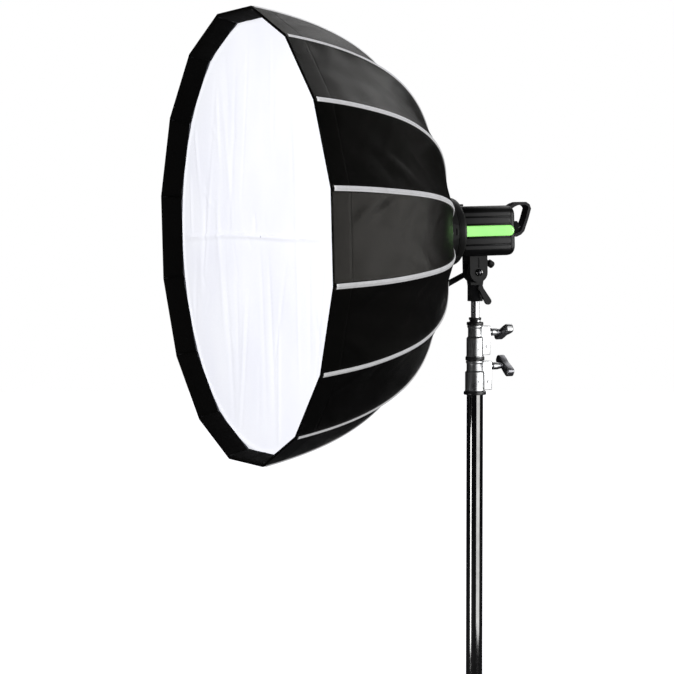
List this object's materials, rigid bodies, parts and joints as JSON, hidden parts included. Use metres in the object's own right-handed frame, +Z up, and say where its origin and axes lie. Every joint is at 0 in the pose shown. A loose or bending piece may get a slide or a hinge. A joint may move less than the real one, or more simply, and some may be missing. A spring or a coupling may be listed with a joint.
{
  "type": "studio softbox",
  "caption": "Deep round folding softbox with a recessed white front, on a flash head that tilts and turns on a telescopic stand with folding legs.",
  "frame": {"origin": "centre of the object's bounding box, on the floor", "axes": "+Z up, the softbox faces -Y, +X is to the lamp's left seen from behind it"},
  "size_m": [0.926, 0.8042, 1.6639],
  "materials": {
    "canopy": "matte black woven nylon with pale seam tape over each rib",
    "front_lip": "matte black woven nylon",
    "front_diffuser": "white translucent diffusion cloth",
    "inner_diffuser": "white translucent diffusion cloth",
    "hub_ring": "black anodised",
    "rib_01": "satin metal rod with a black root",
    "rib_02": "satin metal rod with a black root",
    "rib_03": "satin metal rod with a black root",
    "rib_04": "satin metal rod with a black root",
    "rib_05": "satin metal rod with a black root",
    "rib_06": "satin metal rod with a black root",
    "rib_07": "satin metal rod with a black root",
    "rib_08": "satin metal rod with a black root",
    "rib_09": "satin metal rod with a black root",
    "rib_10": "satin metal rod with a black root",
    "rib_11": "satin metal rod with a black root",
    "rib_12": "satin metal rod with a black root",
    "rib_13": "satin metal rod with a black root",
    "rib_14": "satin metal rod with a black root",
    "rib_15": "satin metal rod with a black root",
    "rib_16": "satin metal rod with a black root",
    "hub_latch_near": "satin",
    "hub_latch_far": "satin",
    "lamp_housing": "satin black with dark grey bands",
    "rear_cap": "satin black",
    "side_stripe_near": "bright green",
    "side_stripe_far": "bright green",
    "carry_handle": "satin black",
    "mount_ring": "satin black",
    "flash_tube": "clear tube",
    "modelling_lamp": "frosted",
    "glass_dome": "frosted clear glass",
    "rear_screen": "dark display window",
    "power_socket": "satin black",
    "tilt_yoke": "satin black casting",
    "rear_dial": "satin black, ribbed edge",
    "test_button": "matte",
    "lamp_button": "matte",
    "mount_release": "satin black",
    "umbrella_knob": "satin black",
    "stand_adapter": "satin black casting",
    "tilt_lever": "satin black",
    "spigot_lever": "satin black",
    "top_riser": "polished steel spigot on a tube",
    "top_cap": "satin black",
    "mid_tube": "gloss black",
    "upper_collar": "polished casting",
    "upper_knob": "cast, satin",
    "column_tube": "black chrome, mirror-like",
    "lower_collar": "polished casting",
    "lower_knob": "cast, satin, darker",
    "base_collar": "satin black",
    "leg_collar": "satin black",
    "leg_knob": "cast, satin",
    "leg_1": "gloss black tube with a rubber foot",
    "leg_2": "gloss black tube with a rubber foot",
    "leg_3": "gloss black tube with a rubber foot",
    "brace_1": "gloss black bars",
    "brace_2": "gloss black bars",
    "brace_3": "gloss black bars"
  },
  "bodies": {
    "stand": {"column_tube": "column_tube", "lower_collar": "lower_collar", "base_collar": "base_collar"},
    "mid_riser": {"mid_tube": "mid_tube", "upper_collar": "upper_collar"},
    "top_riser": {"top_riser": "top_riser", "top_cap": "top_cap"},
    "adapter": {"stand_adapter": "stand_adapter"},
    "head": {"lamp_housing": "lamp_housing", "rear_cap": "rear_cap", "side_stripe_near": "side_stripe_near", "side_stripe_far": "side_stripe_far", "carry_handle": "carry_handle", "mount_ring": "mount_ring", "flash_tube": "flash_tube", "modelling_lamp": "modelling_lamp", "glass_dome": "glass_dome", "rear_screen": "rear_screen", "power_socket": "power_socket", "tilt_yoke": "tilt_yoke"},
    "hub": {"hub_ring": "hub_ring", "canopy": "canopy", "front_lip": "front_lip", "front_diffuser": "front_diffuser", "inner_diffuser": "inner_diffuser"},
    "rib_01": {"rib_01": "rib_01"},
    "rib_02": {"rib_02": "rib_02"},
    "rib_03": {"rib_03": "rib_03"},
    "rib_04": {"rib_04": "rib_04"},
    "rib_05": {"rib_05": "rib_05"},
    "rib_06": {"rib_06": "rib_06"},
    "rib_07": {"rib_07": "rib_07"},
    "rib_08": {"rib_08": "rib_08"},
    "rib_09": {"rib_09": "rib_09"},
    "rib_10": {"rib_10": "rib_10"},
    "rib_11": {"rib_11": "rib_11"},
    "rib_12": {"rib_12": "rib_12"},
    "rib_13": {"rib_13": "rib_13"},
    "rib_14": {"rib_14": "rib_14"},
    "rib_15": {"rib_15": "rib_15"},
    "rib_16": {"rib_16": "rib_16"},
    "hub_latch_near": {"hub_latch_near": "hub_latch_near"},
    "hub_latch_far": {"hub_latch_far": "hub_latch_far"},
    "rear_dial": {"rear_dial": "rear_dial"},
    "test_button": {"test_button": "test_button"},
    "lamp_button": {"lamp_button": "lamp_button"},
    "mount_release": {"mount_release": "mount_release"},
    "umbrella_knob": {"umbrella_knob": "umbrella_knob"},
    "tilt_lever": {"tilt_lever": "tilt_lever"},
    "spigot_lever": {"spigot_lever": "spigot_lever"},
    "upper_knob": {"upper_knob": "upper_knob"},
    "lower_knob": {"lower_knob": "lower_knob"},
    "leg_collar": {"leg_collar": "leg_collar"},
    "leg_knob": {"leg_knob": "leg_knob"},
    "leg_1": {"leg_1": "leg_1"},
    "leg_2": {"leg_2": "leg_2"},
    "leg_3": {"leg_3": "leg_3"},
    "brace_1": {"brace_1": "brace_1"},
    "brace_2": {"brace_2": "brace_2"},
    "brace_3": {"brace_3": "brace_3"}
  },
  "joints": [
    {"name": "mid_rise", "type": "slide", "parent": "stand", "child": "mid_riser", "axis": [0, 0, 1], "range_m": [0, 0.7]},
    {"name": "top_rise", "type": "slide", "parent": "mid_riser", "child": "top_riser", "axis": [0, 0, 1], "range_m": [0, 0.7]},
    {"name": "head_pan", "type": "hinge", "parent": "top_riser", "child": "adapter", "pos_m": [0, 0.13078, 1.18], "axis": [0, 0, 1], "continuous": true},
    {"name": "head_tilt", "type": "hinge", "parent": "adapter", "child": "head", "pos_m": [0, 0.13078, 1.18], "axis": [1, 0, 0], "range_deg": [-60, 30]},
    {"name": "softbox_twist", "type": "hinge", "parent": "head", "child": "hub", "pos_m": [0, 0.06301, 1.25825], "axis": [0, -0.9997, -0.0262], "range_deg": [0, 20]},
    {"name": "rib_fold", "type": "hinge", "parent": "hub", "child": "rib_01", "pos_m": [0.07258, 0.02984, 1.27183], "axis": [0.1951, 0.0257, -0.9804], "range_deg": [0, 41], "deforming": ["canopy", "front_lip", "front_diffuser", "inner_diffuser"]},
    {"name": "rib_fold_02", "type": "hinge", "parent": "hub", "child": "rib_02", "pos_m": [0.06153, 0.02914, 1.29849], "axis": [0.5556, 0.0218, -0.8312], "range_deg": [0, 41.01]},
    {"name": "rib_fold_03", "type": "hinge", "parent": "hub", "child": "rib_03", "pos_m": [0.04111, 0.02861, 1.3189], "axis": [0.8315, 0.0145, -0.5554], "range_deg": [0, 41.01]},
    {"name": "rib_fold_04", "type": "hinge", "parent": "hub", "child": "rib_04", "pos_m": [0.01444, 0.02832, 1.32995], "axis": [0.9808, 0.0051, -0.195], "range_deg": [0, 41.01]},
    {"name": "rib_fold_05", "type": "hinge", "parent": "hub", "child": "rib_05", "pos_m": [-0.01444, 0.02832, 1.32995], "axis": [0.9808, -0.0051, 0.195], "range_deg": [0, 41.01]},
    {"name": "rib_fold_06", "type": "hinge", "parent": "hub", "child": "rib_06", "pos_m": [-0.04111, 0.02861, 1.3189], "axis": [0.8315, -0.0145, 0.5554], "range_deg": [0, 41.01]},
    {"name": "rib_fold_07", "type": "hinge", "parent": "hub", "child": "rib_07", "pos_m": [-0.06153, 0.02914, 1.29849], "axis": [0.5556, -0.0218, 0.8312], "range_deg": [0, 41.01]},
    {"name": "rib_fold_08", "type": "hinge", "parent": "hub", "child": "rib_08", "pos_m": [-0.07258, 0.02984, 1.27183], "axis": [0.1951, -0.0257, 0.9804], "range_deg": [0, 41.01]},
    {"name": "rib_fold_09", "type": "hinge", "parent": "hub", "child": "rib_09", "pos_m": [-0.07258, 0.03059, 1.24296], "axis": [-0.1951, -0.0257, 0.9804], "range_deg": [0, 41.01]},
    {"name": "rib_fold_10", "type": "hinge", "parent": "hub", "child": "rib_10", "pos_m": [-0.06153, 0.03129, 1.2163], "axis": [-0.5556, -0.0218, 0.8312], "range_deg": [0, 41.01]},
    {"name": "rib_fold_11", "type": "hinge", "parent": "hub", "child": "rib_11", "pos_m": [-0.04111, 0.03183, 1.19589], "axis": [-0.8315, -0.0145, 0.5554], "range_deg": [0, 41.01]},
    {"name": "rib_fold_12", "type": "hinge", "parent": "hub", "child": "rib_12", "pos_m": [-0.01444, 0.03212, 1.18484], "axis": [-0.9808, -0.0051, 0.195], "range_deg": [0, 41.01]},
    {"name": "rib_fold_13", "type": "hinge", "parent": "hub", "child": "rib_13", "pos_m": [0.01444, 0.03212, 1.18484], "axis": [-0.9808, 0.0051, -0.195], "range_deg": [0, 41.01]},
    {"name": "rib_fold_14", "type": "hinge", "parent": "hub", "child": "rib_14", "pos_m": [0.04111, 0.03183, 1.19589], "axis": [-0.8315, 0.0145, -0.5554], "range_deg": [0, 41.01]},
    {"name": "rib_fold_15", "type": "hinge", "parent": "hub", "child": "rib_15", "pos_m": [0.06153, 0.03129, 1.2163], "axis": [-0.5556, 0.0218, -0.8312], "range_deg": [0, 41.01]},
    {"name": "rib_fold_16", "type": "hinge", "parent": "hub", "child": "rib_16", "pos_m": [0.07258, 0.03059, 1.24296], "axis": [-0.1951, 0.0257, -0.9804], "range_deg": [0, 41.01]},
    {"name": "latch_slide_near", "type": "slide", "parent": "hub", "child": "hub_latch_near", "axis": [1, 0, 0], "range_m": [0, 0.003], "stiffness_N_per_m": 250},
    {"name": "latch_slide_far", "type": "slide", "parent": "hub", "child": "hub_latch_far", "axis": [-1, 0, 0], "range_m": [0, 0.003], "stiffness_N_per_m": 250},
    {"name": "dial_turn", "type": "hinge", "parent": "head", "child": "rear_dial", "pos_m": [0.0275, 0.1968, 1.26776], "axis": [0, -0.9997, -0.0262], "continuous": true},
    {"name": "test_press", "type": "slide", "parent": "head", "child": "test_button", "axis": [0, -0.9997, -0.0262], "range_m": [0, 0.0018], "stiffness_N_per_m": 300},
    {"name": "lamp_press", "type": "slide", "parent": "head", "child": "lamp_button", "axis": [0, -0.9997, -0.0262], "range_m": [0, 0.0018], "stiffness_N_per_m": 300},
    {"name": "release_slide", "type": "slide", "parent": "head", "child": "mount_release", "axis": [0, 0.9997, 0.0262], "range_m": [0, 0.004], "stiffness_N_per_m": 250},
    {"name": "umbrella_clamp", "type": "hinge", "parent": "head", "child": "umbrella_knob", "pos_m": [0, 0.15146, 1.20405], "axis": [0, 0.8526, -0.5225], "range_deg": [0, 180]},
    {"name": "tilt_clamp", "type": "hinge", "parent": "head", "child": "tilt_lever", "pos_m": [0, 0.13078, 1.18], "axis": [1, 0, 0], "range_deg": [0, 90]},
    {"name": "spigot_clamp", "type": "hinge", "parent": "adapter", "child": "spigot_lever", "pos_m": [0, 0.13078, 1.1505], "axis": [1, 0, 0], "range_deg": [0, 90]},
    {"name": "upper_clamp", "type": "hinge", "parent": "mid_riser", "child": "upper_knob", "pos_m": [0, 0.16098, 1.064], "axis": [0, 1, 0], "range_deg": [0, 180]},
    {"name": "lower_clamp", "type": "hinge", "parent": "stand", "child": "lower_knob", "pos_m": [0, 0.16448, 0.998], "axis": [0, 1, 0], "range_deg": [0, 180]},
    {"name": "leg_fold", "type": "slide", "parent": "stand", "child": "leg_collar", "axis": [0, 0, 1], "range_m": [0, 0.308]},
    {"name": "leg_clamp", "type": "hinge", "parent": "leg_collar", "child": "leg_knob", "pos_m": [0, 0.16678, 0.3564], "axis": [0, 1, 0], "range_deg": [0, 180]},
    {"name": "leg_1_hinge", "type": "hinge", "parent": "leg_collar", "child": "leg_1", "pos_m": [0, 0.09278, 0.3524], "axis": [1, 0, 0], "range_deg": [0, 52.81]},
    {"name": "leg_2_hinge", "type": "hinge", "parent": "leg_collar", "child": "leg_2", "pos_m": [0.03291, 0.14978, 0.3524], "axis": [-0.5, 0.866, 0], "range_deg": [0, 52.81]},
    {"name": "leg_3_hinge", "type": "hinge", "parent": "leg_collar", "child": "leg_3", "pos_m": [-0.03291, 0.14978, 0.3524], "axis": [-0.5, -0.866, 0], "range_deg": [0, 52.81]},
    {"name": "brace_1_hinge", "type": "hinge", "parent": "stand", "child": "brace_1", "pos_m": [0, 0.09578, 0.1], "axis": [-1, 0, 0], "range_deg": [0, 69.25]},
    {"name": "brace_2_hinge", "type": "hinge", "parent": "stand", "child": "brace_2", "pos_m": [0.03031, 0.14828, 0.1], "axis": [0.5, -0.866, 0], "range_deg": [0, 69.25]},
    {"name": "brace_3_hinge", "type": "hinge", "parent": "stand", "child": "brace_3", "pos_m": [-0.03031, 0.14828, 0.1], "axis": [0.5, 0.866, 0], "range_deg": [0, 69.25]}
  ],
  "couplings": [
    {"joint": "rib_fold_02", "follows": "rib_fold", "ratio": 1},
    {"joint": "rib_fold_03", "follows": "rib_fold", "ratio": 1},
    {"joint": "rib_fold_04", "follows": "rib_fold", "ratio": 1},
    {"joint": "rib_fold_05", "follows": "rib_fold", "ratio": 1},
    {"joint": "rib_fold_06", "follows": "rib_fold", "ratio": 1},
    {"joint": "rib_fold_07", "follows": "rib_fold", "ratio": 1},
    {"joint": "rib_fold_08", "follows": "rib_fold", "ratio": 1},
    {"joint": "rib_fold_09", "follows": "rib_fold", "ratio": 1},
    {"joint": "rib_fold_10", "follows": "rib_fold", "ratio": 1},
    {"joint": "rib_fold_11", "follows": "rib_fold", "ratio": 1},
    {"joint": "rib_fold_12", "follows": "rib_fold", "ratio": 1},
    {"joint": "rib_fold_13", "follows": "rib_fold", "ratio": 1},
    {"joint": "rib_fold_14", "follows": "rib_fold", "ratio": 1},
    {"joint": "rib_fold_15", "follows": "rib_fold", "ratio": 1},
    {"joint": "rib_fold_16", "follows": "rib_fold", "ratio": 1},
    {"joint": "leg_1_hinge", "follows": "leg_fold", "rad_per_m": 2.992},
    {"joint": "leg_2_hinge", "follows": "leg_fold", "rad_per_m": 2.992},
    {"joint": "leg_3_hinge", "follows": "leg_fold", "rad_per_m": 2.992},
    {"joint": "brace_1_hinge", "follows": "leg_fold", "rad_per_m": 3.9237},
    {"joint": "brace_2_hinge", "follows": "leg_fold", "rad_per_m": 3.9237},
    {"joint": "brace_3_hinge", "follows": "leg_fold", "rad_per_m": 3.9237}
  ]
}
